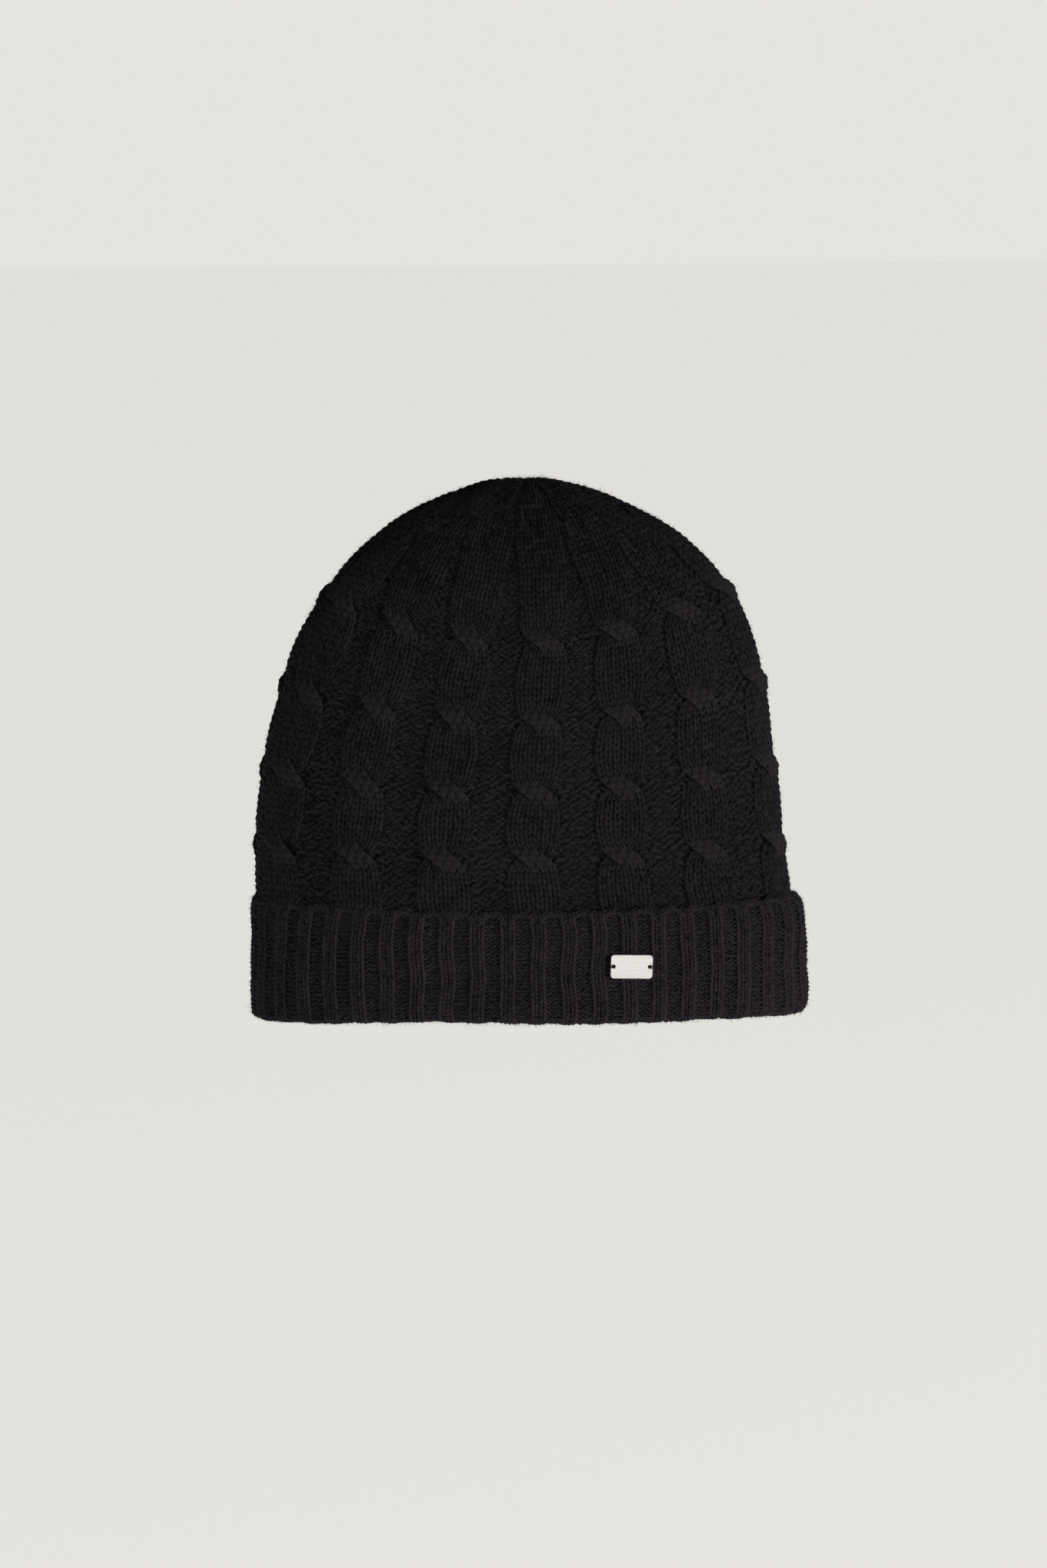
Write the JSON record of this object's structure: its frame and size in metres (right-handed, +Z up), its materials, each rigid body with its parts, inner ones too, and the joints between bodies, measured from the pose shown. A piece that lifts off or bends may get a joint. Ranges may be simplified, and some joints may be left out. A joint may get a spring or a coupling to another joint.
{
  "type": "knit beanie",
  "caption": "Close-fitting cable-knit beanie with a deep turned-up ribbed cuff, a gathered crown and a small blank metal tag sewn to the front of the cuff.",
  "frame": {"origin": "centre of the bottom of the turned-up cuff, on the surface that the hat stands on", "axes": "+Z up through the crown, -Y towards the front, where the tag is, +X to the right seen from the front"},
  "size_m": [0.22, 0.1058, 0.21],
  "materials": {
    "knit": "matte",
    "rib": "matte",
    "seam_yarn": "matte",
    "tag_metal": "satin",
    "tag_thread": "matte",
    "label_ribbon": "satin",
    "label_thread": "matte"
  },
  "bodies": {
    "hat": {"cable_body": "knit", "crown": "knit", "inner_rib_band": "rib", "turned_up_cuff": "rib", "back_seam": "seam_yarn", "cuff_seam": "seam_yarn", "crown_closing_yarn": "seam_yarn", "tag_stitch_left": "tag_thread", "tag_stitch_right": "tag_thread", "label_hem": "label_ribbon", "label_stitches": "label_thread"},
    "tag": {"tag_plate": "tag_metal"},
    "label": {"label_flap": "label_ribbon"}
  },
  "joints": [
    {"name": "tag_rock", "type": "hinge", "parent": "hat", "child": "tag", "pos_m": [0.04006, -0.05032, 0.0246], "axis": [0.9833, 0.1821, 0], "range_deg": [-8, 8]},
    {"name": "label_swing", "type": "hinge", "parent": "hat", "child": "label", "pos_m": [0, 0.03955, 0.0558], "axis": [-1, 0, 0], "range_deg": [0, 60]}
  ]
}
